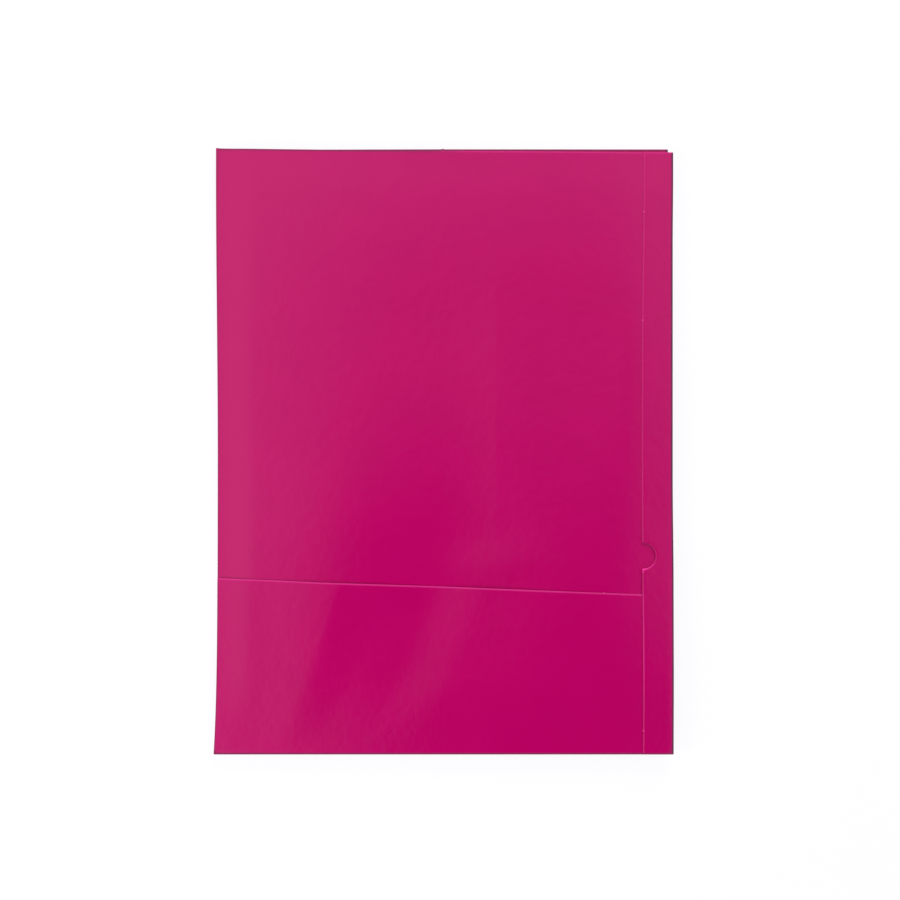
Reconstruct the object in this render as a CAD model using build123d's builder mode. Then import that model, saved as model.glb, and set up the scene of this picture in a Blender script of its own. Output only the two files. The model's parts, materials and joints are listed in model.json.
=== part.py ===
from build123d import *

import os
from math import atan2, cos, hypot, sin, tan

# A two pocket folder of coated card, folded back on itself and lying flat, pockets outwards.
# X runs from the spine to the outer edges, Y from the bottom folds to the top edges, Z is up.
# The front leaf lies on top, pocket up. The rear leaf below it faces down.

os.makedirs("parts", exist_ok=True)

# Card, and what lies between its layers
card = 0.4
glue_film = 0.1
pocket_air = 0.2

# Leaves: both are a little out of square, and the rear one is narrower
leaf_height = 304.8
front_width = 231.0
rear_width = 228.1
front_top_drop = 2.0
rear_top_drop = 0.1

# Spine: a narrow strip between two creases, with a slit where the card bends
spine_width = 3.2
crease_gap = 0.1

# Pocket: its mouth falls from the spine to the edge strip, and its spine end leans a little
spine_mouth_height = 88.3
strip_mouth_height = 80.2
pocket_lean = 1.7

# Free corner of the pocket, which bends up along a line from the spine to the strip
flap_foot = 2.0
flap_clearance = 0.3
crease_inset = 2.0

# Edge strip: folded over from the outer edge, and glued down over the pocket's end
strip_width = 14.9
strip_climb = 8.0
climb_clearance = 0.5
notch_height = 99.7
notch_radius = 6.75
edge_fold_lead = 0.3
glue_margin = 2.0

# Levels of the layers, counted from a panel's outer face towards its pocket
pocket_level = card + pocket_air
pocket_face = pocket_level + card
low_strip_level = card + glue_film
high_strip_level = pocket_face + glue_film
leaf_thickness = high_strip_level + card

# Radii of the rounded folds, measured on the outside of the card
crease_radius = card / 2
pocket_fold_radius = pocket_face / 2
low_fold_radius = (low_strip_level + card) / 2
high_fold_radius = leaf_thickness / 2

# Places: the origin is under the middle of the whole folder
spine_x = (crease_radius - front_width) / 2
bottom_y = -leaf_height / 2
panel_start = crease_radius + crease_gap
outer_face = (spine_width - card) / 2
middle_z = leaf_thickness + outer_face

# Each leaf: its name, the side of the spine's middle that it is on, its width and top drop
leaves = (
    ("front", 1, front_width, front_top_drop),
    ("rear", -1, rear_width, rear_top_drop),
)


def sheet_plane(side, level):
    """The plane of a layer of card, with X from the spine and Y from the bottom fold."""
    return Plane(origin=(spine_x, bottom_y, middle_z + side * (outer_face + level)))


def across_plane(side, x):
    """A plane across the leaf at x, seen along X: Y from the bottom fold, then the level."""
    origin = (spine_x + x, bottom_y, middle_z + side * outer_face)
    return Plane(origin=origin, x_dir=(0, 1, 0), z_dir=(side, 0, 0))


def edge_plane(side, x, y):
    """A plane square to the outer edge, with X going outwards from x, then the level."""
    origin = (spine_x + x, bottom_y + y, middle_z + side * outer_face)
    return Plane(origin=origin, x_dir=(1, 0, 0), z_dir=(0, -side, 0))


def edge_section(plane, reach, radius):
    """The card bent round an edge: two flats joined by a half round that ends at reach."""
    lead = reach - radius
    inner = radius - card
    with BuildSketch(plane) as section:
        with BuildLine():
            Line((0, 0), (lead, 0))
            CenterArc((lead, radius), radius, -90, 90)
            CenterArc((lead, radius), radius, 0, 90)
            Line((lead, radius + radius), (0, radius + radius))
            Line((0, radius + radius), (0, radius + inner))
            Line((0, radius + inner), (lead, radius + inner))
            CenterArc((lead, radius), inner, 90, -90)
            CenterArc((lead, radius), inner, 0, -90)
            Line((lead, card), (0, card))
            Line((0, card), (0, 0))
        make_face()
    return section.sketch


# Spine: rounded along both creases, so that it turns about their middle lines
with BuildPart() as spine:
    spine_origin = (spine_x, bottom_y + leaf_height, middle_z)
    with BuildSketch(Plane(origin=spine_origin, x_dir=(1, 0, 0), z_dir=(0, -1, 0))):
        SlotCenterToCenter(spine_width, card, rotation=90)
    extrude(amount=leaf_height - pocket_fold_radius)
spine.part.label = "spine"
export_step(spine.part, "parts/spine.step")

for leaf, side, width, top_drop in leaves:
    strip_edge = width - strip_width
    fold_reach = high_fold_radius + edge_fold_lead
    fold_line = width - fold_reach
    strip_top = leaf_height - top_drop
    mouth_fall = (spine_mouth_height - strip_mouth_height) / (strip_edge - panel_start)
    lean_x = panel_start + pocket_lean
    lean_mouth = spine_mouth_height - mouth_fall * pocket_lean
    fold_mouth = strip_mouth_height - mouth_fall * (fold_line - strip_edge)
    climb_start = strip_mouth_height + climb_clearance
    climb_end = climb_start + strip_climb

    # The line that the pocket's free corner bends along
    foot_y = pocket_fold_radius + flap_foot
    head_x = strip_edge - flap_clearance
    head_y = strip_mouth_height + mouth_fall * flap_clearance
    bend_length = hypot(head_x - panel_start, head_y - foot_y)
    bend_angle = atan2(head_y - foot_y, head_x - panel_start)
    slit_drop = (crease_radius + crease_gap) / cos(bend_angle)

    # Panel: the leaf itself, from the spine crease to the edge fold
    with BuildPart() as panel:
        with BuildSketch(sheet_plane(side, 0)):
            with BuildLine():
                Polyline(
                    (panel_start, pocket_fold_radius),
                    (fold_line, pocket_fold_radius),
                    (fold_line, strip_top),
                    (panel_start, leaf_height),
                    close=True,
                )
            make_face()
        extrude(amount=side * card)
    panel.part.label = f"{leaf}_panel"
    export_step(panel.part, f"parts/{leaf}_panel.step")

    # Bottom fold: the card turned up into the pocket
    with BuildPart() as pocket_fold:
        with BuildSketch(across_plane(side, panel_start)):
            with Locations((pocket_fold_radius, pocket_fold_radius)):
                Circle(pocket_fold_radius)
                Circle(pocket_fold_radius - card, mode=Mode.SUBTRACT)
                Rectangle(
                    pocket_fold_radius,
                    pocket_face,
                    align=(Align.MAX, Align.CENTER),
                    mode=Mode.INTERSECT,
                )
        extrude(amount=side * (fold_line - panel_start))
    pocket_fold.part.label = f"{leaf}_pocket_fold"
    export_step(pocket_fold.part, f"parts/{leaf}_pocket_fold.step")

    # Pocket: the part that the bottom fold and the edge strip hold down
    with BuildPart() as pocket:
        with BuildSketch(sheet_plane(side, pocket_level)):
            with BuildLine():
                Polyline(
                    (panel_start, pocket_fold_radius),
                    (fold_line, pocket_fold_radius),
                    (fold_line, fold_mouth),
                    (strip_edge, strip_mouth_height),
                    (strip_edge, head_y + flap_clearance * tan(bend_angle) - slit_drop),
                    (panel_start, foot_y - slit_drop),
                    close=True,
                )
            make_face()
        extrude(amount=side * card)
    pocket.part.label = f"{leaf}_pocket"
    export_step(pocket.part, f"parts/{leaf}_pocket.step")

    # Pocket flap: the free corner by the spine, rounded along the line that it bends on
    with BuildPart() as pocket_flap:
        with BuildSketch(sheet_plane(side, pocket_level)):
            with BuildLine():
                Polyline(
                    (panel_start, foot_y),
                    (head_x, head_y),
                    (lean_x, lean_mouth),
                    close=True,
                )
            make_face()
        extrude(amount=side * card)
        bend_plane = Plane(
            origin=(
                spine_x + panel_start + crease_inset * cos(bend_angle),
                bottom_y + foot_y + crease_inset * sin(bend_angle),
                middle_z + side * (outer_face + pocket_level + crease_radius),
            ),
            z_dir=(cos(bend_angle), sin(bend_angle), 0),
        )
        with BuildSketch(bend_plane):
            Circle(crease_radius)
        extrude(amount=bend_length - crease_inset - crease_inset)
    pocket_flap.part.label = f"{leaf}_pocket_flap"
    export_step(pocket_flap.part, f"parts/{leaf}_pocket_flap.step")

    # Edge strip: lies on the panel, climbs over the pocket's mouth, and has a half round notch
    with BuildPart() as edge_strip:
        with BuildSketch(across_plane(side, strip_edge)):
            with BuildLine():
                Polyline(
                    (0, high_strip_level),
                    (climb_start, high_strip_level),
                    (climb_end, low_strip_level),
                    (strip_top, low_strip_level),
                    (strip_top, low_strip_level + card),
                    (climb_end, low_strip_level + card),
                    (climb_start, leaf_thickness),
                    (0, leaf_thickness),
                    close=True,
                )
            make_face()
        extrude(amount=side * (fold_line - strip_edge))
        with BuildSketch(sheet_plane(side, 0)):
            with Locations((strip_edge, notch_height)):
                Circle(notch_radius)
        extrude(amount=side * leaf_thickness, mode=Mode.SUBTRACT)
    edge_strip.part.label = f"{leaf}_edge_strip"
    export_step(edge_strip.part, f"parts/{leaf}_edge_strip.step")

    # Edge fold: turns the panel over into the strip, wider where the pocket lies between
    high_start = edge_section(edge_plane(side, fold_line, 0), fold_reach, high_fold_radius)
    high_end = edge_section(edge_plane(side, fold_line, climb_start), fold_reach, high_fold_radius)
    low_start = edge_section(edge_plane(side, fold_line, climb_end), fold_reach, low_fold_radius)
    with BuildPart() as edge_fold:
        extrude(high_start, amount=climb_start, dir=(0, 1, 0))
        loft(sections=[high_end, low_start], ruled=True)
        extrude(low_start, amount=strip_top - climb_end, dir=(0, 1, 0))
    edge_fold.part.label = f"{leaf}_edge_fold"
    export_step(edge_fold.part, f"parts/{leaf}_edge_fold.step")

    # Glue under the strip: on the panel above the pocket, clear of the notch
    with BuildPart() as strip_glue:
        with BuildSketch(sheet_plane(side, card)):
            with BuildLine():
                Polyline(
                    (strip_edge + glue_margin, climb_end + glue_margin),
                    (fold_line - glue_margin, climb_end + glue_margin),
                    (fold_line - glue_margin, strip_top - glue_margin),
                    (strip_edge + glue_margin, strip_top - glue_margin),
                    close=True,
                )
            make_face()
            with Locations((strip_edge, notch_height)):
                Circle(notch_radius + glue_margin, mode=Mode.SUBTRACT)
        extrude(amount=side * glue_film)
    strip_glue.part.label = f"{leaf}_strip_glue"
    export_step(strip_glue.part, f"parts/{leaf}_strip_glue.step")

    # Glue under the strip: on the pocket's outer end
    with BuildPart() as pocket_glue:
        with BuildSketch(sheet_plane(side, pocket_face)):
            with BuildLine():
                Polyline(
                    (strip_edge + glue_margin, pocket_fold_radius + glue_margin),
                    (fold_line - glue_margin, pocket_fold_radius + glue_margin),
                    (fold_line - glue_margin, fold_mouth - glue_margin),
                    (strip_edge + glue_margin, fold_mouth - glue_margin),
                    close=True,
                )
            make_face()
        extrude(amount=side * glue_film)
    pocket_glue.part.label = f"{leaf}_pocket_glue"
    export_step(pocket_glue.part, f"parts/{leaf}_pocket_glue.step")
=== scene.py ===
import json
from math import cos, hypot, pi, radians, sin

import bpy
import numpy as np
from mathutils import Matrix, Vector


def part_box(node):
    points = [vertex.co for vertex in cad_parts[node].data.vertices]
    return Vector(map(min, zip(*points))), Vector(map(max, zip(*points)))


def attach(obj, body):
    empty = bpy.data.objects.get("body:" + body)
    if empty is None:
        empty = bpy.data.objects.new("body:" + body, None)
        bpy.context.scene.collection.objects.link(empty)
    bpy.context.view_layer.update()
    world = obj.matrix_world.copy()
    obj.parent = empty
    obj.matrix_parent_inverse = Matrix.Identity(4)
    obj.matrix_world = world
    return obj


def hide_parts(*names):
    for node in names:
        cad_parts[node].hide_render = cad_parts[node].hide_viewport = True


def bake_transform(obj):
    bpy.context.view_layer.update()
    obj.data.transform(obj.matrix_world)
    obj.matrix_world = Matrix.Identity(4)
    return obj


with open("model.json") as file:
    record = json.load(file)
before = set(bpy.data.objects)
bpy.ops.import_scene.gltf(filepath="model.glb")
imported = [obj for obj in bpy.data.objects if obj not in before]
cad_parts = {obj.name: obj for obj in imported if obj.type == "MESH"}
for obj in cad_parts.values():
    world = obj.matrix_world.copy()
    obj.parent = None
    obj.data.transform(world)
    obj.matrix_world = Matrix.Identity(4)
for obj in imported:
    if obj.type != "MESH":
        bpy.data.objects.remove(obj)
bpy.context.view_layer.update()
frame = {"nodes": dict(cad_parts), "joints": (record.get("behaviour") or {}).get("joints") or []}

# Looks of a two pocket folder of glossy magenta card, folded back on itself and lying flat.
# A leaf is worked out in millimetres: x from the spine crease to the outer edge, y from the
# bottom fold to the top edge, and level from the panel's outer face towards its pocket.
# place() bulges it and turns it into the frame's metres.
# A span is a pair of places between which something goes softly from none to all.
# A form is a soft rise or hollow: the x and y of its middle, its spread across and up the
# leaf, and its rise.

MM = 0.001


def node_box(node):
    """Lowest and highest corner of a CAD node, in millimetres."""
    low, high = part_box(node)
    return np.array(low) / MM, np.array(high) / MM


# Sizes read from the frame
joints = {joint["name"]: joint for joint in frame["joints"]}
front_axis = np.array(joints["front_crease"]["pos_m"]) / MM
rear_axis = np.array(joints["rear_crease"]["pos_m"]) / MM
spine_x = front_axis[0]
spine_width = front_axis[2] - rear_axis[2]
middle_z = (front_axis[2] + rear_axis[2]) / 2
panel_low, panel_high = node_box("front_panel")
bottom_y = node_box("front_pocket_fold")[0][1]
card = panel_high[2] - panel_low[2]
outer_face = (spine_width - card) / 2
leaf_height = panel_high[1] - bottom_y
fold_radius = panel_low[1] - bottom_y
panel_start = panel_low[0] - spine_x

# Grid of each sheet, and its bends
grid_step = 3.0
least_step = 0.04
bend_steps = 10
sharp_angle = 50
far = 99.0

# Cut edges: pressed thin over the first steps from the edge
press_steps = (0.0, 0.14, 0.36, 0.7, 1.1)
press_shares = (0.30, 0.62, 0.84, 0.96, 1.0)
plain_press_share = 0.5
strip_press_share = 0.55
less_press_share = 0.1
less_press_span = (90, 83)
strip_press_depth = 0.25
strip_press_reach = 0.8
edge_band = 2

# Nibs on the cut edges, where the sheet was held in its cutting die
nib_width = 0.42
nib_reach = 0.32
nib_grid_shares = (-2.4, -1.6, -1, -0.5, 0, 0.5, 1, 1.6, 2.4)
strip_nibs = (12.1, 218.2, 273.7)
mouth_nib = 196.0
top_nib = 115.0

# Spine: its creases, and how far it is drawn in, first beside the pocket's leaning end
crease_bend = 0.3
crease_reach = 1.0
crease_lead = 0.1
end_start = -0.2
end_lean = 2.12
end_run = 31
spine_inset = 0.35
mouth_return = 0.34
mouth_return_span = (70, 92)
high_return = 0.91
high_return_span = (150, 290)
spine_bow_reach = 40
spine_rise = 0.15

# Outer edges: the front one is drawn in above the pocket, and the rear one leans out
front_bow = 0.38
front_bow_span = (88, 140)
front_return = 0.26
front_return_span = (255, 298)
rear_lean = 0.7
rear_lean_span = (100, 300)

# Top edges: how they fall from the spine, over the last stretch of the leaf
top_drop_share = 1.1
top_curve = 0.6
top_reach = 60
top_rise_span = (50, 120)

# Edge strip: where it climbs over the pocket's mouth, its bowed free edge, foot and notch
climb_span = (84.0, 129.0)
strip_out = 0.2
strip_foot_bow = 0.35
strip_more_bow = 0.55
strip_bow_span = (20, 140)
strip_top_span = (300, 190)
strip_foot_share = 0.6
strip_foot_reach = 6
notch_height = 99.95
notch_radius = 6.5
notch_shift = 0.68
notch_steps = 24

# Front leaf: soft hollows and swells, an upright crest, and how its edges are held
low_hollow = (122, 99, 34, 70, -2.6)
high_hollow = (104, 215, 52, 33, -1.2)
side_hollow = (186, 194, 20, 43, -0.8)
near_swell = (72, 118, 30, 23, 0.65)
mouth_swell = (140, 95, 15, 8, 0.45)
crest_x = 141.8
crest_rise = 0.21
near_crest_slope = 13
far_crest_slope = 25
crest_round = 0.4
crest_foot_span = (100, 130)
crest_head_span = (285, 200)
crest_grid = (-2, -1, -0.5, 0, 0.5, 1, 2)
spine_lift = 0.75
spine_lift_span = (3.2, 20)
strip_hold_span = (216, 196)
foot_hold_span = (0, 45)
edge_tilt = 0.03
tilt_start = 198.5
tilt_ease = 6
tilt_span = (15, 100)
top_curl = 0.25
curl_span = (280, 305)

# Rear leaf: one slight hollow
rear_hollow = (110, 200, 45, 60, -0.3)
rear_spine_span = (3.2, 40)
rear_strip_span = (210, 170)

# Pocket: its gape by the spine, the ridge that it falls over, its swell and its lip
least_up = 0.01
end_gape = 0.4
near_dip = 0.35
near_dip_span = (2, 22)
ridge_gape = 0.4
ridge_gape_span = (22, 62)
gape_run = 8
ridge_height = 82
ridge_foot = 24.0
ridge_run = 38.0
ridge_curve = 0.65
ridge_slant = 0.94
ridge_ease = 1.5
ridge_grid_margin = 6
fall_share = 1.38
fall_reach = 19
fall_spread = 0.1
swell_rise = 0.9
swell_foot = 48
swell_run = 72.5
swell_curve = 0.3
swell_slant = 0.85
swell_edge_span = (-14, 14)
swell_foot_span = (0, 40)
swell_end_span = (214, 110)
pocket_lip = (87, 90, 11, 9, 0.6)

# Pocket's mouth and end, and how wide a band bends when its corner lifts
mouth_rise = 0.35
near_mouth_rise = 0.2
near_mouth_span = (55, 30)
mouth_start = 10
end_reach = 45

# Rub and painted highlight: how far the cut edges are rubbed pale and painted lighter where they catch
# the light, where 1 is plain to see
strip_rub_and_highlight = 0.1
high_strip_rub_and_highlight = 0.18
high_strip_rub_and_highlight_span = (220, 250)
pocket_strip_rub_and_highlight = 0.05
mouth_strip_rub_and_highlight = 0.55
mouth_strip_rub_and_highlight_span = (18, 60)
pocket_strip_rub_and_highlight_span = (86, 79)
notch_rub_and_highlight = 0.9
notch_rub_and_highlight_span = (2, 6.5)
notch_corner_spread = (0.9, 0.7)
notch_corner_rub_and_highlight = 2.0
notch_rub_and_highlight_margin = 1.2
top_rub_and_highlight = 0.15
more_top_rub_and_highlight = 0.4
more_top_rub_and_highlight_span = (105, 130)
mouth_rub_and_highlight = 0.95
spine_rub_and_highlight = 0.2

# Painted shade: how dark the folds and ends are painted where they turn from the light or lie in
# shadow, where 1 is darkest, and how much narrower it is there
outer_fold_painted_shade = 1.0
spine_painted_shade = 0.3
foot_painted_shade = 0.7
top_painted_shade = 0.6
top_painted_shade_start = 105
pocket_end_painted_shade = 0.4
crease_painted_shade = 0.35
spine_painted_shade_less = 0.3
end_painted_shade_less = 0.1


def smooth(span, value):
    """Goes from 0 at the start of a span to 1 at its end, level at both."""
    start, end = span
    share = np.clip((value - start) / (end - start), 0, 1)
    return share * share * (3 - 2 * share)


def eased(value, ease):
    """The value above zero, with a soft start."""
    return (value + np.sqrt(value**2 + ease**2)) / 2


def mound(x, y, form):
    """A soft rounded rise, or a hollow where its rise is negative."""
    middle_x, middle_y, wide, long, rise = form
    return rise * np.exp(-(((x - middle_x) / wide) ** 2 + ((y - middle_y) / long) ** 2) / 2)


def pocket_end(y):
    """Where a pocket's end by the spine lies: it leans away from the spine as it goes up."""
    return end_start + end_lean * (1 - np.exp(-y / end_run))


def spine_bow(y):
    """How far the spine is drawn in from its straight line: most at half the height."""
    back = mouth_return * smooth(mouth_return_span, y) + high_return * smooth(high_return_span, y)
    return pocket_end(y) + spine_inset - back


def front_edge_bow(y):
    """How far the front leaf's outer edge is drawn in above the pocket, and less at the top."""
    return front_bow * smooth(front_bow_span, y) - front_return * smooth(front_return_span, y)


def rear_edge_bow(y):
    """The rear leaf's outer edge leans out a little towards its top."""
    return -rear_lean * smooth(rear_lean_span, y)


def strip_bow(y):
    """How far the strip's free edge stands out towards the spine: most above the notch."""
    bow = strip_foot_bow + strip_more_bow * smooth(strip_bow_span, y)
    return strip_out + smooth(strip_top_span, y) * bow


def crest(x, y):
    """A sharp upright crest in the middle of the front leaf."""
    past = x - crest_x
    slope_width = np.where(past < 0, near_crest_slope, far_crest_slope)
    rise = np.exp(-np.sqrt(past**2 + crest_round) / slope_width)
    return crest_rise * rise * smooth(crest_foot_span, y) * smooth(crest_head_span, y)


def front_form(x, y):
    """How far the front leaf bulges: hollow across its middle, with softer swells beside it."""
    lift = smooth(spine_lift_span, x)
    free = lift * smooth(strip_hold_span, x)
    hollow = mound(x, y, low_hollow) + mound(x, y, high_hollow) + mound(x, y, side_hollow)
    swell = mound(x, y, near_swell) + mound(x, y, mouth_swell)
    bulge = spine_lift * lift + free * (hollow + swell + crest(x, y))
    tilt = edge_tilt * eased(x - tilt_start, tilt_ease) * smooth(tilt_span, y)
    return smooth(foot_hold_span, y) * bulge - tilt - top_curl * smooth(curl_span, y)


def rear_form(x, y):
    """The rear leaf lies flatter, held by the table: it only bends in a little."""
    free = smooth(rear_spine_span, x) * smooth(rear_strip_span, x)
    return free * mound(x, y, rear_hollow)


def pocket_form(x, y):
    """How far a pocket stands off its leaf: it gapes by the spine, falls over a ridge, and swells."""
    up = np.clip(y, least_up, None)
    stand = end_gape - near_dip * smooth(near_dip_span, x) + ridge_gape * smooth(ridge_gape_span, x)
    gape = stand * (1 - np.exp(-up / gape_run))
    ridge_x = ridge_foot + ridge_run * (up / ridge_height) ** ridge_curve
    past_ridge = eased((x - ridge_x) * ridge_slant, ridge_ease)
    fall = np.sin(pi / 2 * np.clip(past_ridge / (fall_reach + fall_spread * y), 0, 1))
    swell_x = swell_foot + swell_run * (up / ridge_height) ** swell_curve
    swell = smooth(swell_edge_span, (x - swell_x) * swell_slant)
    swell = swell * smooth(swell_foot_span, y) * smooth(swell_end_span, x)
    return gape * (1 - fall_share * fall) + swell_rise * swell + mound(x, y, pocket_lip)


def leaf_sizes(name, side, form, edge_bow, pocket_share, top_rise, top_painted_shade_end):
    """What the frame says about one leaf, with the forms that it takes."""
    fold = node_box(f"{name}_edge_fold")
    strip = node_box(f"{name}_edge_strip")
    pocket = node_box(f"{name}_pocket")
    strip_levels = sorted(abs(corner[2] - middle_z) - outer_face for corner in strip)
    pocket_levels = [abs(corner[2] - middle_z) - outer_face for corner in pocket]
    return {
        "name": name,
        "side": side,
        "form": form,
        "edge_bow": edge_bow,
        "pocket_share": pocket_share,
        "width": fold[1][0] - spine_x,
        "fold_line": fold[0][0] - spine_x,
        "strip_edge": strip[0][0] - spine_x,
        "high_strip": strip_levels[1] - card / 2,
        "low_strip": strip_levels[0] + card / 2,
        "pocket_level": min(pocket_levels) + card / 2,
        "mouth_spine": node_box(f"{name}_pocket_flap")[1][1] - bottom_y,
        "mouth_strip": pocket[1][1] - bottom_y,
        "top_drop": node_box(f"{name}_panel")[1][1] - strip[1][1],
        "top_rise": top_rise,
        "top_painted_shade_span": (top_painted_shade_end, top_painted_shade_start),
    }


front = leaf_sizes(
    "front",
    side=1,
    form=front_form,
    edge_bow=front_edge_bow,
    pocket_share=1.0,
    top_rise=0.0,
    top_painted_shade_end=130,
)
# The rear leaf's top edge gets painted shade over nearly its whole width, for the front leaf's shadow;
# the front's only towards the spine.
rear = leaf_sizes(
    "rear",
    side=-1,
    form=rear_form,
    edge_bow=rear_edge_bow,
    pocket_share=0.15,
    top_rise=0.15,
    top_painted_shade_end=900,
)


def place(leaf, x, y, level):
    """Points of a leaf in the frame, in metres."""
    height = outer_face + level + leaf["form"](x, y)
    return np.stack([spine_x + x, bottom_y + y, middle_z + leaf["side"] * height], -1) * MM


def spread(low, high, extra=(), low_cut=False, high_cut=False):
    """Grid positions from low to high, closer together at cut edges and at extra places."""
    count = max(2, round((high - low) / grid_step)) + 1
    found = set(np.linspace(low, high, count))
    found.update(value for value in extra if low < value < high)
    if low_cut:
        found.update(low + step for step in press_steps)
    if high_cut:
        found.update(high - step for step in press_steps)
    kept = []
    for value in sorted(found):
        if not kept or value - kept[-1] > least_step:
            kept.append(value)
    kept[-1] = high
    return np.array(kept)


def nib(position, middle):
    """How far a nib stands out of a cut edge."""
    return nib_reach * np.exp(-(((position - middle) / nib_width) ** 2))


def nib_places(middle):
    """Grid positions that a nib needs."""
    return [middle + nib_width * share for share in nib_grid_shares]


def add_layer(mesh, name, kind, values):
    """A value for each point of a mesh, the same on both faces of the card."""
    layer = mesh.attributes.new(name, kind, "POINT")
    flat = np.tile(values, (2, 1)).astype(np.float32).ravel()
    layer.data.foreach_set("vector" if kind == "FLOAT_VECTOR" else "value", flat)


def card_piece(name, middle, unfolded, edge, wear_and_highlight, fold, painted_shade, press=plain_press_share):
    """A sheet of card about a grid of middle points, with pressed edges and a cut rim.

    unfolded holds each point's place on the flat sheet. edge is its distance in millimetres
    from the nearest cut edge, the value after it how far that is rubbed pale and painted lighter
    as a highlight, and press how far it is pressed thin. fold is its distance from the nearest
    fold or end, and the value after it how dark painted shade makes it there.
    """
    normal = np.cross(np.gradient(middle, axis=0), np.gradient(middle, axis=1))
    normal /= np.linalg.norm(normal, axis=-1, keepdims=True)
    thickness = card * MM * (1 - press * (1 - np.interp(edge, press_steps, press_shares)))
    lift = normal * thickness[..., None] / 2
    rows, columns = middle.shape[:2]
    count = rows * columns
    vertices = np.concatenate([(middle + lift).reshape(-1, 3), (middle - lift).reshape(-1, 3)])
    index = np.arange(count).reshape(rows, columns)
    corners = [index[:-1, :-1], index[1:, :-1], index[1:, 1:], index[:-1, 1:]]
    quads = np.stack(corners, -1).reshape(-1, 4)
    rim = np.concatenate([index[:, 0], index[-1, 1:], index[-2::-1, -1], index[0, -2:0:-1]])
    following = np.roll(rim, -1)
    walls = np.stack([following, rim, rim + count, following + count], -1)
    faces = np.concatenate([quads, quads[:, ::-1] + count, walls])
    mesh = bpy.data.meshes.new(name)
    mesh.from_pydata(vertices.tolist(), [], faces.tolist())
    mesh.polygons.foreach_set("use_smooth", np.ones(len(faces), bool))
    is_wall = np.arange(len(faces)) >= 2 * len(quads)
    mesh.materials.append(coated_card)
    mesh.materials.append(card_core)
    mesh.polygons.foreach_set("material_index", is_wall.astype(np.int32))
    for label, values in (("edge", edge), ("wear_and_highlight", wear_and_highlight), ("fold", fold), ("painted_shade", painted_shade)):
        add_layer(mesh, label, "FLOAT", values.reshape(-1, 1))
    sheet = np.concatenate([unfolded.reshape(-1, 2) * MM, np.zeros((count, 1))], -1)
    add_layer(mesh, "sheet", "FLOAT_VECTOR", sheet)
    mesh.set_sharp_from_angle(angle=radians(sharp_angle))
    piece = bpy.data.objects.new(name, mesh)
    bpy.context.scene.collection.objects.link(piece)
    return piece


def replace_nodes(piece, leaf, *parts):
    """Hides the CAD nodes of a leaf that a piece stands for."""
    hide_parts(*(f"{leaf['name']}_{part}" for part in parts))


def strip_rows():
    """Rows that the notch and the strip's nibs need."""
    turns = np.linspace(-pi / 2, pi / 2, notch_steps + 1)
    rows = [notch_height + notch_radius * sin(turn) for turn in turns]
    rows += [notch_height + (notch_radius + step) * way for step in press_steps for way in (-1, 1)]
    for middle in strip_nibs:
        rows += nib_places(middle)
    return rows


def nib_wear_and_highlight(position, middles):
    """How far nibs are rubbed paler than the edge that they stand on, and painted lighter as
    highlights.
    """
    return sum(nib(position, middle) for middle in middles) / nib_reach


def strip_wear_and_highlight(x, y, strip_edge):
    """How far the strip's edge is rubbed pale and painted lighter as a highlight: most over the
    pocket's mouth and under the notch.
    """
    over_pocket = pocket_strip_rub_and_highlight + mouth_strip_rub_and_highlight * smooth(mouth_strip_rub_and_highlight_span, y)
    straight = strip_rub_and_highlight + high_strip_rub_and_highlight * smooth(high_strip_rub_and_highlight_span, y)
    straight = straight + smooth(pocket_strip_rub_and_highlight_span, y) * over_pocket + nib_wear_and_highlight(y, strip_nibs)
    # Under the notch and at its lower corner the edge is painted lighter, a painted highlight where it
    # faces the light.
    below = notch_height - y
    corner_place = (strip_edge, notch_height - notch_radius)
    corner = mound(x, y, (*corner_place, *notch_corner_spread, notch_corner_rub_and_highlight))
    notch = notch_rub_and_highlight * smooth(notch_rub_and_highlight_span, below) + corner
    return np.where(abs(below) < notch_radius + notch_rub_and_highlight_margin, notch, straight)


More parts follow.
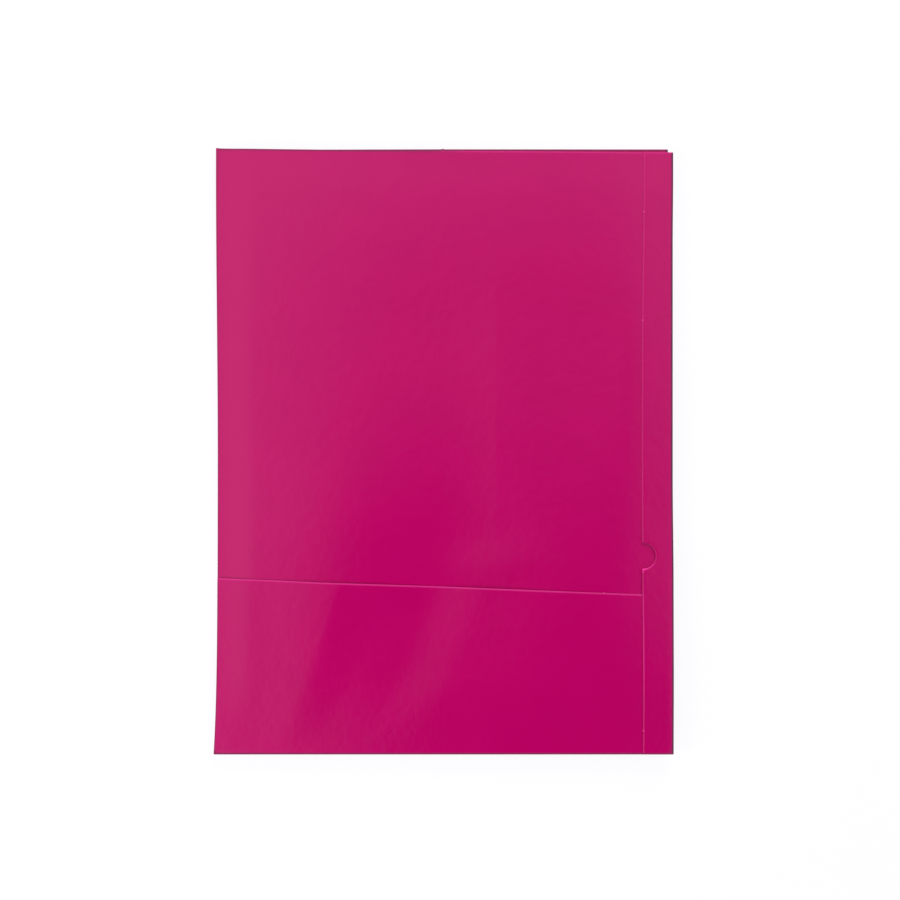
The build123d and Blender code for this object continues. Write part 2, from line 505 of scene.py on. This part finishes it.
def leaf_card(leaf):
    """The panel, its outer edge fold and the strip folded back over it, as one sheet."""
    fold_line, strip_edge = leaf["fold_line"], leaf["strip_edge"]
    up = spread(fold_radius, leaf_height, extra=strip_rows(), low_cut=True, high_cut=True)
    climbed = smooth(climb_span, up)
    strip_level = leaf["high_strip"] + (leaf["low_strip"] - leaf["high_strip"]) * climbed
    bend = (strip_level - card / 2) / 2
    bend_x = leaf["width"] - card / 2 - bend
    notch_x = strip_edge - notch_shift
    notch = np.sqrt(np.clip(notch_radius**2 - (up - notch_height) ** 2, 0, None)) - notch_shift
    straight = -strip_bow(up) - sum(nib(up, middle) for middle in strip_nibs)
    free_edge = np.where(abs(up - notch_height) < notch_radius, notch, straight)
    press = strip_press_share - less_press_share * smooth(less_press_span, up)

    # Each column's x, level, place across the flat sheet, and share of the turn to the strip
    columns = []
    crest_places = [crest_x + step for step in crest_grid]
    for x in spread(crease_reach, fold_line, extra=nib_places(top_nib) + crest_places):
        drawn_in = spine_bow(up) * (1 - smooth((crease_reach, spine_bow_reach), x))
        columns.append((x + drawn_in, card / 2 + 0 * up, x, 0))
    for turn in np.linspace(0, pi, bend_steps + 1)[1:-1]:
        level = card / 2 + bend - bend * cos(turn)
        columns.append((bend_x + bend * sin(turn), level, fold_line + turn, turn / pi))
    for x in spread(strip_edge, fold_line, low_cut=True)[::-1]:
        share = (fold_line - x) / (fold_line - strip_edge)
        pressed = 1 - smooth((0, strip_press_reach), x - strip_edge)
        level = strip_level - strip_press_depth * press * pressed
        columns.append((x + free_edge * share, level, 2 * fold_line + pi - x, 1))
    x = np.array([column[0] for column in columns])
    level = np.array([column[1] for column in columns])
    sheet_x = np.array([column[2] + 0 * up for column in columns])
    on_strip = np.array([column[3] + 0 * up for column in columns])
    drawn_in = leaf["edge_bow"](up)
    x -= drawn_in * smooth((strip_edge, leaf["width"]), x)

    # The strip's foot reaches down, and the top edge falls towards the strip
    foot = strip_foot_share * fold_radius * (1 - smooth((fold_radius, strip_foot_reach), up)) * on_strip
    fall = top_drop_share * leaf["top_drop"] * (np.clip(x, 0, None) / fold_line) ** top_curve
    rise = spine_rise + leaf["top_rise"] * smooth(top_rise_span, x)
    top_fall = fall - nib(x, top_nib) - rise
    y = up - foot - top_fall * smooth((leaf_height - top_reach, leaf_height), up)

    # Distances from the cut edges and the folds, and what they are like there
    from_notch = np.hypot(x - notch_x, y - notch_height) - notch_radius
    from_free = np.where(abs(y - notch_height) > notch_radius, x - strip_edge + strip_bow(up), far)
    from_strip_edge = np.maximum(np.minimum(from_notch, from_free), 0) + far * (on_strip < 1)
    from_bottom = up - fold_radius + far * (1 - on_strip)
    edge = np.minimum(np.minimum(leaf_height - up, from_strip_edge), from_bottom)
    from_fold = leaf["width"] - drawn_in - x
    from_spine = x - spine_bow(up) + spine_painted_shade_less
    from_end = np.minimum(leaf_height - up, y + far * (on_strip < 1)) + end_painted_shade_less
    fold = np.minimum(np.minimum(from_fold, from_spine), from_end)
    # Painted shade: the outer fold, spine and ends are painted darker where they turn from the light or
    # lie in shadow.
    end_painted_shade = np.where(y < edge_band, foot_painted_shade, top_painted_shade * smooth(leaf["top_painted_shade_span"], x))
    painted_shade_choices = [outer_fold_painted_shade, spine_painted_shade]
    painted_shade = np.select([fold == from_fold, fold == from_spine], painted_shade_choices, end_painted_shade)
    # Cut edges are rubbed pale and also painted lighter where they catch the light, as a painted
    # highlight.
    top_wear_and_highlight = top_rub_and_highlight + more_top_rub_and_highlight * smooth(more_top_rub_and_highlight_span, x) + nib_wear_and_highlight(x, [top_nib])
    wear_and_highlight = np.where(leaf_height - up < edge_band, top_wear_and_highlight, strip_wear_and_highlight(x, up + 0 * y, strip_edge))

    middle = place(leaf, x, y, level)
    unfolded = np.stack([sheet_x, y], -1)
    name = f"{leaf['name']}_leaf_card"
    piece = card_piece(name, middle, unfolded, edge, wear_and_highlight, fold, painted_shade, press + 0 * y)
    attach(piece, f"{leaf['name']}_leaf")
    replace_nodes(piece, leaf, "panel", "edge_fold", "edge_strip")


def pocket_card(leaf):
    """The bottom fold and the whole pocket that it turns up into, as one sheet."""
    fold_line, height = leaf["fold_line"], leaf["mouth_spine"]
    bend = fold_radius - card / 2
    ridge_places = list(np.arange(ridge_foot, ridge_foot + ridge_run + ridge_grid_margin))
    across = spread(panel_start, fold_line, extra=nib_places(mouth_nib) + ridge_places, low_cut=True)
    up = spread(fold_radius, height, high_cut=True)
    mouth_fall = (height - leaf["mouth_strip"]) / (leaf["strip_edge"] - panel_start)
    mouth = mouth_rise + near_mouth_rise * smooth(near_mouth_span, across)
    mouth = mouth + nib(across, mouth_nib) - mouth_fall * across

    # Each row's y, level, place up the flat sheet, and distance from the mouth
    rows = []
    for turn in np.linspace(0, pi, bend_steps + 1)[:-1]:
        y = fold_radius - bend * sin(turn) + 0 * across
        rows.append((y, fold_radius - bend * cos(turn) + 0 * across, bend * (turn - pi), far))
    for start in up:
        y = start + mouth * smooth((mouth_start, height), start)
        rise = leaf["pocket_share"] * pocket_form(across, y)
        rows.append((y, leaf["pocket_level"] + rise, y - fold_radius, height - start))
    y = np.array([row[0] for row in rows]).T
    level = np.array([row[1] for row in rows]).T
    sheet_y = np.array([row[2] + 0 * across for row in rows]).T
    from_mouth = np.array([row[3] + 0 * across for row in rows]).T

    lean = (pocket_end(y) - panel_start) * (1 - smooth((panel_start, end_reach), across))[:, None]
    x = across[:, None] + lean
    middle = place(leaf, x, y, level)
    edge = np.minimum(across[:, None] - panel_start, from_mouth)
    unfolded = np.stack([x + 2 * leaf["width"], sheet_y], -1)
    from_end = across[:, None] - panel_start + spine_painted_shade_less + 0 * y
    # The mouth's cut edge is rubbed pale and painted lighter as a highlight; the bottom fold and the
    # end get painted shade.
    wear_and_highlight = np.where(from_mouth < edge_band, mouth_rub_and_highlight + nib_wear_and_highlight(x, [mouth_nib]), 0.0)
    fold = np.minimum(y + end_painted_shade_less, from_end)
    painted_shade = np.where(fold < from_end, foot_painted_shade, pocket_end_painted_shade)
    piece = card_piece(f"{leaf['name']}_pocket_card", middle, unfolded, edge, wear_and_highlight, fold, painted_shade)
    joint = joints[f"{leaf['name']}_pocket_bend"]
    start = Vector(joint["pos_m"])
    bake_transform(piece)
    replace_nodes(piece, leaf, "pocket_fold", "pocket", "pocket_flap")


def spine_card(leaf):
    """Half of the spine: from the panel round its crease to the middle of the spine."""
    half = spine_width / 2
    path = [(crease_reach, 0.0)]
    for turn in np.linspace(0, pi / 2, bend_steps + 1):
        path.append((crease_bend * (1 - sin(turn)), crease_bend * (1 - cos(turn))))
    path += [(0.0, crease_bend + crease_lead), (0.0, half)]
    run = np.cumsum([0] + [hypot(*np.subtract(b, a)) for a, b in zip(path, path[1:])])
    from_crease = abs(run - run[bend_steps // 2 + 1])
    up = spread(fold_radius, leaf_height, low_cut=True, high_cut=True)
    top_share = smooth((leaf_height - top_reach, leaf_height), up)
    x = np.array([point[0] + spine_bow(up) for point in path])
    y = np.array([up + spine_rise * top_share for point in path])
    z = np.array([middle_z + leaf["side"] * (half - point[1]) + 0 * up for point in path])
    middle = np.stack([spine_x + x, bottom_y + y, z], -1) * MM
    edge = np.minimum(leaf_height - up, up - fold_radius) + 0 * y
    fold = from_crease[:, None] + spine_painted_shade_less + 0 * y
    unfolded = np.stack([crease_reach - run[:, None] + 0 * y, y], -1)
    # The spine's cut ends are rubbed pale and painted lighter as a highlight, and its crease gets
    # painted shade.
    wear_and_highlight, painted_shade = spine_rub_and_highlight + 0 * y, crease_painted_shade + 0 * y
    piece = card_piece(f"{leaf['name']}_spine_card", middle, unfolded, edge, wear_and_highlight, fold, painted_shade)
    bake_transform(piece)
    if leaf is front:
        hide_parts("spine")


def node_group(name, inputs, outputs):
    """An empty shader group with its named sockets."""
    group = bpy.data.node_groups.new(name, "ShaderNodeTree")
    for label, kind, value in inputs:
        socket = group.interface.new_socket(label, in_out="INPUT", socket_type=kind)
        if value is not None:
            socket.default_value = value
    for label, kind in outputs:
        group.interface.new_socket(label, in_out="OUTPUT", socket_type=kind)
    return group, group.nodes.new("NodeGroupInput"), group.nodes.new("NodeGroupOutput")


def feed(tree, socket, value):
    """Links a socket to another, or sets its value."""
    if isinstance(value, bpy.types.NodeSocket):
        tree.links.new(value, socket)
    else:
        socket.default_value = value


def noise(tree, vector, scale=1.0, detail=3.0, roughness=0.5):
    """A noise texture's value over the sheet."""
    node = tree.nodes.new("ShaderNodeTexNoise")
    node.inputs["Scale"].default_value = scale
    node.inputs["Detail"].default_value = detail
    node.inputs["Roughness"].default_value = roughness
    feed(tree, node.inputs["Vector"], vector)
    return node.outputs["Fac"]


def maths(tree, operation, first, second):
    """A maths node; each operand is a socket or a number."""
    node = tree.nodes.new("ShaderNodeMath")
    node.operation = operation
    feed(tree, node.inputs[0], first)
    feed(tree, node.inputs[1], second)
    return node.outputs[0]


def map_range(tree, value, span=(0.0, 1.0), onto=(0.0, 1.0)):
    """Maps the values of a span onto another, with soft ends."""
    node = tree.nodes.new("ShaderNodeMapRange")
    node.interpolation_type = "SMOOTHSTEP"
    feed(tree, node.inputs["Value"], value)
    for label, number in zip(("From Min", "From Max", "To Min", "To Max"), (*span, *onto)):
        node.inputs[label].default_value = number
    return node.outputs["Result"]


def mapping(tree, vector, kind, **settings):
    """A vector moved, turned or scaled."""
    node = tree.nodes.new("ShaderNodeMapping")
    node.vector_type = kind
    for label, value in settings.items():
        node.inputs[label.capitalize()].default_value = value
    feed(tree, node.inputs["Vector"], vector)
    return node.outputs["Vector"]


def mix_colour(tree, share, first, second):
    """Mixes two colours, each a socket or a colour."""
    node = tree.nodes.new("ShaderNodeMix")
    node.data_type = "RGBA"
    for label, value in (("Factor", share), ("A", first), ("B", second)):
        feed(tree, next(s for s in node.inputs if s.name == label and s.enabled), value)
    return next(s for s in node.outputs if s.name == "Result" and s.enabled)


def attribute(tree, name, output="Fac"):
    """A value that the mesh carries."""
    node = tree.nodes.new("ShaderNodeAttribute")
    node.attribute_name = name
    return node.outputs[output]


def new_material(name):
    """A material with its Principled shader, and its tree."""
    material = bpy.data.materials.new(name)
    material.use_nodes = True
    tree = material.node_tree
    return material, tree, tree.nodes["Principled BSDF"]


def bump(tree, shader, height, strength, distance):
    """Feeds a height to the shader's normal."""
    node = tree.nodes.new("ShaderNodeBump")
    node.inputs["Strength"].default_value = strength
    node.inputs["Distance"].default_value = distance
    tree.links.new(height, node.inputs["Height"])
    tree.links.new(node.outputs["Normal"], shader.inputs["Normal"])


def make_grain_group():
    """Paper grain: cloudy tone, fibres, the surface's tooth, its slight cockle and faint scuffs."""
    fibre_scale = (2600, 240, 1)
    scuff_scale = (60, 260, 1)
    fibre_in_tooth = 0.5
    group, given, out = node_group(
        "paper_grain",
        (
            ("Sheet", "NodeSocketVector", None),
            ("Cloud", "NodeSocketFloat", 0.5),
            ("Fibre", "NodeSocketFloat", 0.5),
        ),
        [(label, "NodeSocketFloat") for label in ("Tone", "Tooth", "Cockle", "Scuff")],
    )
    sheet = given.outputs["Sheet"]
    clouds = noise(group, sheet, scale=38, detail=4)
    cloud = maths(group, "MULTIPLY", clouds, given.outputs["Cloud"])
    fibres = noise(group, mapping(group, sheet, "POINT", scale=fibre_scale), roughness=0.6)
    fibre = maths(group, "MULTIPLY", fibres, given.outputs["Fibre"])
    specks = noise(group, sheet, scale=1500, detail=2)
    tooth = maths(group, "ADD", specks, maths(group, "MULTIPLY", fibres, fibre_in_tooth))
    cockle = noise(group, sheet, scale=180, roughness=0.6)
    scuffs = noise(group, mapping(group, sheet, "POINT", scale=scuff_scale), detail=4, roughness=0.6)
    group.links.new(maths(group, "ADD", cloud, fibre), out.inputs["Tone"])
    group.links.new(tooth, out.inputs["Tooth"])
    group.links.new(cockle, out.inputs["Cockle"])
    group.links.new(map_range(group, scuffs, span=(0.35, 0.75)), out.inputs["Scuff"])
    return group


def grain_in(tree, sheet, cloud, fibre):
    """The grain group, placed in a material with its own strengths."""
    node = tree.nodes.new("ShaderNodeGroup")
    node.node_tree = paper_grain
    node.inputs["Cloud"].default_value = cloud
    node.inputs["Fibre"].default_value = fibre
    tree.links.new(sheet, node.inputs["Sheet"])
    return node.outputs


def make_coated_card():
    """Glossy magenta card, rubbed pale and painted lighter as highlights along its cut edges, with
    painted shade along its folds and ends.
    """
    deep_magenta = (0.46, 0.0001, 0.0985, 1)
    bright_magenta = (0.547, 0.0001, 0.1205, 1)
    # Pale pink: rubbed cut edges, also used as a painted highlight.
    rubbed_and_highlight_pink = (0.85, 0.03, 0.28, 1)
    # Dark brown: painted shade on the folds and ends.
    painted_shade_brown = (0.12, 0.014, 0.055, 1)
    dulling = 0.5
    cockle_share = 36
    material, tree, shader = new_material("coated_card")
    grain = grain_in(tree, attribute(tree, "sheet", "Vector"), cloud=0.6, fibre=0.4)
    colour = mix_colour(tree, grain["Tone"], deep_magenta, bright_magenta)
    patchy = map_range(tree, grain["Tone"], span=(0.2, 0.7), onto=(0.7, 1.1))
    # Cut edges are rubbed pale and painted lighter, a painted highlight where they catch the light.
    rub_and_highlight = map_range(tree, attribute(tree, "edge"), span=(1.0, 0.45), onto=(0.0, 0.5))
    rub_and_highlight = maths(tree, "MULTIPLY", maths(tree, "MULTIPLY", rub_and_highlight, attribute(tree, "wear_and_highlight")), patchy)
    colour = mix_colour(tree, rub_and_highlight, colour, rubbed_and_highlight_pink)
    # Folds and ends are painted dark brown: painted shade where they turn from the light or lie in
    # shadow.
    painted_shade = map_range(tree, attribute(tree, "fold"), span=(1.5, 0.55))
    painted_shade = maths(tree, "MULTIPLY", maths(tree, "MULTIPLY", painted_shade, attribute(tree, "painted_shade")), patchy)
    colour = mix_colour(tree, painted_shade, colour, painted_shade_brown)
    tree.links.new(colour, shader.inputs["Base Color"])
    gloss = map_range(tree, grain["Scuff"], onto=(0.133, 0.147))
    dulled = maths(tree, "MULTIPLY", maths(tree, "MAXIMUM", rub_and_highlight, painted_shade), dulling)
    tree.links.new(maths(tree, "ADD", gloss, dulled), shader.inputs["Roughness"])
    shader.inputs["IOR"].default_value = 1.5
    cockle = maths(tree, "MULTIPLY", grain["Cockle"], cockle_share)
    height = maths(tree, "ADD", grain["Tooth"], cockle)
    bump(tree, shader, height, strength=0.06, distance=0.00004)
    return material


def make_card_core():
    """The cut edge: paler, fibrous and matt."""
    deep_core = (0.42, 0.012, 0.12, 1)
    pale_core = (0.62, 0.07, 0.27, 1)
    material, tree, shader = new_material("card_core")
    grain = grain_in(tree, attribute(tree, "sheet", "Vector"), cloud=0.5, fibre=0.7)
    colour = mix_colour(tree, grain["Tone"], deep_core, pale_core)
    tree.links.new(colour, shader.inputs["Base Color"])
    tree.links.new(map_range(tree, grain["Scuff"], onto=(0.6, 0.85)), shader.inputs["Roughness"])
    bump(tree, shader, grain["Tooth"], strength=0.4, distance=0.0001)
    return material


def make_dried_glue():
    """The film of dried glue under the strip: milky, with a slight gloss."""
    deep_glue = (0.55, 0.50, 0.42, 1)
    pale_glue = (0.78, 0.74, 0.66, 1)
    material, tree, shader = new_material("dried_glue")
    place_on_film = tree.nodes.new("ShaderNodeTexCoord").outputs["Object"]
    grain = grain_in(tree, place_on_film, cloud=0.8, fibre=0.2)
    colour = mix_colour(tree, grain["Tone"], deep_glue, pale_glue)
    tree.links.new(colour, shader.inputs["Base Color"])
    tree.links.new(map_range(tree, grain["Scuff"], onto=(0.3, 0.5)), shader.inputs["Roughness"])
    bump(tree, shader, grain["Tone"], strength=0.3, distance=0.0001)
    return material


paper_grain = make_grain_group()
coated_card = make_coated_card()
card_core = make_card_core()
dried_glue = make_dried_glue()

for leaf in (front, rear):
    leaf_card(leaf)
    pocket_card(leaf)
    spine_card(leaf)
    for film in ("strip_glue", "pocket_glue"):
        frame["nodes"][f"{leaf['name']}_{film}"].data.materials[0] = dried_glue


def make_camera():
    """Straight above, with the folder a little left of and above the picture's middle."""
    picture_side = 900
    mm_per_pixel = 0.5028
    lens = 50
    sensor = 36
    seen_level = 4.7
    right_of_middle = 3.2
    above_middle = 0.67
    data = bpy.data.cameras.new("camera")
    data.lens = lens
    data.sensor_width = sensor
    camera = bpy.data.objects.new("camera", data)
    bpy.context.scene.collection.objects.link(camera)
    distance = picture_side * mm_per_pixel * lens / sensor
    camera.location = (right_of_middle * MM, above_middle * MM, (distance + seen_level) * MM)
    bpy.context.scene.camera = camera


def seen_directly(tree):
    """1 for rays from the camera, mirrors and glass, and 0 for the light that falls on things."""
    path = tree.nodes.new("ShaderNodeLightPath").outputs
    mirrored = maths(tree, "MAXIMUM", path["Is Glossy Ray"], path["Is Transmission Ray"])
    return maths(tree, "MAXIMUM", path["Is Camera Ray"], mirrored)


def make_floor():
    """A plain pale floor, much larger than the folder, that looks white but keeps its shadow."""
    reach = 40.0
    drop = 0.0002
    pale_grey = (0.88, 0.88, 0.88, 1)
    glow = 1.03
    glow_share = 0.85
    mesh = bpy.data.meshes.new("floor")
    corners = [(-reach, -reach, 0), (reach, -reach, 0), (reach, reach, 0), (-reach, reach, 0)]
    mesh.from_pydata(corners, [], [(0, 1, 2, 3)])
    material, tree, shader = new_material("floor")
    shader.inputs["Base Color"].default_value = pale_grey
    shader.inputs["Roughness"].default_value = 0.9
    shader.inputs["Specular IOR Level"].default_value = 0.1
    white = tree.nodes.new("ShaderNodeEmission")
    white.inputs["Strength"].default_value = glow
    mix = tree.nodes.new("ShaderNodeMixShader")
    whiteness = maths(tree, "MULTIPLY", seen_directly(tree), glow_share)
    tree.links.new(whiteness, mix.inputs["Fac"])
    tree.links.new(shader.outputs[0], mix.inputs[1])
    tree.links.new(white.outputs[0], mix.inputs[2])
    tree.links.new(mix.outputs[0], tree.nodes["Material Output"].inputs["Surface"])
    mesh.materials.append(material)
    floor = bpy.data.objects.new("floor", mesh)
    floor.location.z = -drop
    bpy.context.scene.collection.objects.link(floor)


def make_world():
    """A pale studio dome, cooler overhead, with a dark patch where the camera stands."""
    white = (1.0, 1.0, 1.0, 1)
    cool_white = (1.0, 0.97, 1.25, 1)
    brightness = 0.675
    least_upward = 0.05
    patch_place = (0.08, -0.27, 0)
    patch_scale = (0.5, 1, 1)
    world = bpy.data.worlds.new("studio")
    world.use_nodes = True
    bpy.context.scene.world = world
    tree = world.node_tree
    background = tree.nodes["Background"]
    split = tree.nodes.new("ShaderNodeSeparateXYZ")
    tree.links.new(tree.nodes.new("ShaderNodeTexCoord").outputs["Generated"], split.inputs[0])
    upward = maths(tree, "MAXIMUM", split.outputs["Z"], least_upward)
    slope = tree.nodes.new("ShaderNodeCombineXYZ")
    for axis in "XY":
        tree.links.new(maths(tree, "DIVIDE", split.outputs[axis], upward), slope.inputs[axis])
    patch = mapping(tree, slope.outputs[0], "TEXTURE", location=patch_place, scale=patch_scale)
    from_patch = tree.nodes.new("ShaderNodeVectorMath")
    from_patch.operation = "LENGTH"
    tree.links.new(patch, from_patch.inputs[0])
    bright = map_range(tree, from_patch.outputs["Value"], span=(0.14, 0.77), onto=(0.0, brightness))
    tree.links.new(bright, background.inputs["Strength"])
    overhead = map_range(tree, split.outputs["Z"], span=(0.2, 0.5))
    tree.links.new(mix_colour(tree, overhead, white, cool_white), background.inputs["Color"])


def soft_box(name, location, size, energy):
    """A soft lamp that faces the folder's middle and shows in no reflection."""
    data = bpy.data.lights.new(name, "AREA")
    data.size = size
    data.energy = energy
    lamp = bpy.data.objects.new(name, data)
    lamp.location = location
    lamp.rotation_euler = (-Vector(location)).to_track_quat("-Z", "Y").to_euler()
    lamp.visible_camera = False
    lamp.visible_glossy = False
    bpy.context.scene.collection.objects.link(lamp)


make_camera()
make_floor()
make_world()
soft_box("left_box", location=(-0.8, -0.3, 0.4), size=0.4, energy=4.6)
soft_box("far_box", location=(0.4, 1.2, 0.5), size=0.6, energy=11.2)
bpy.context.scene.view_settings.view_transform = "Standard"
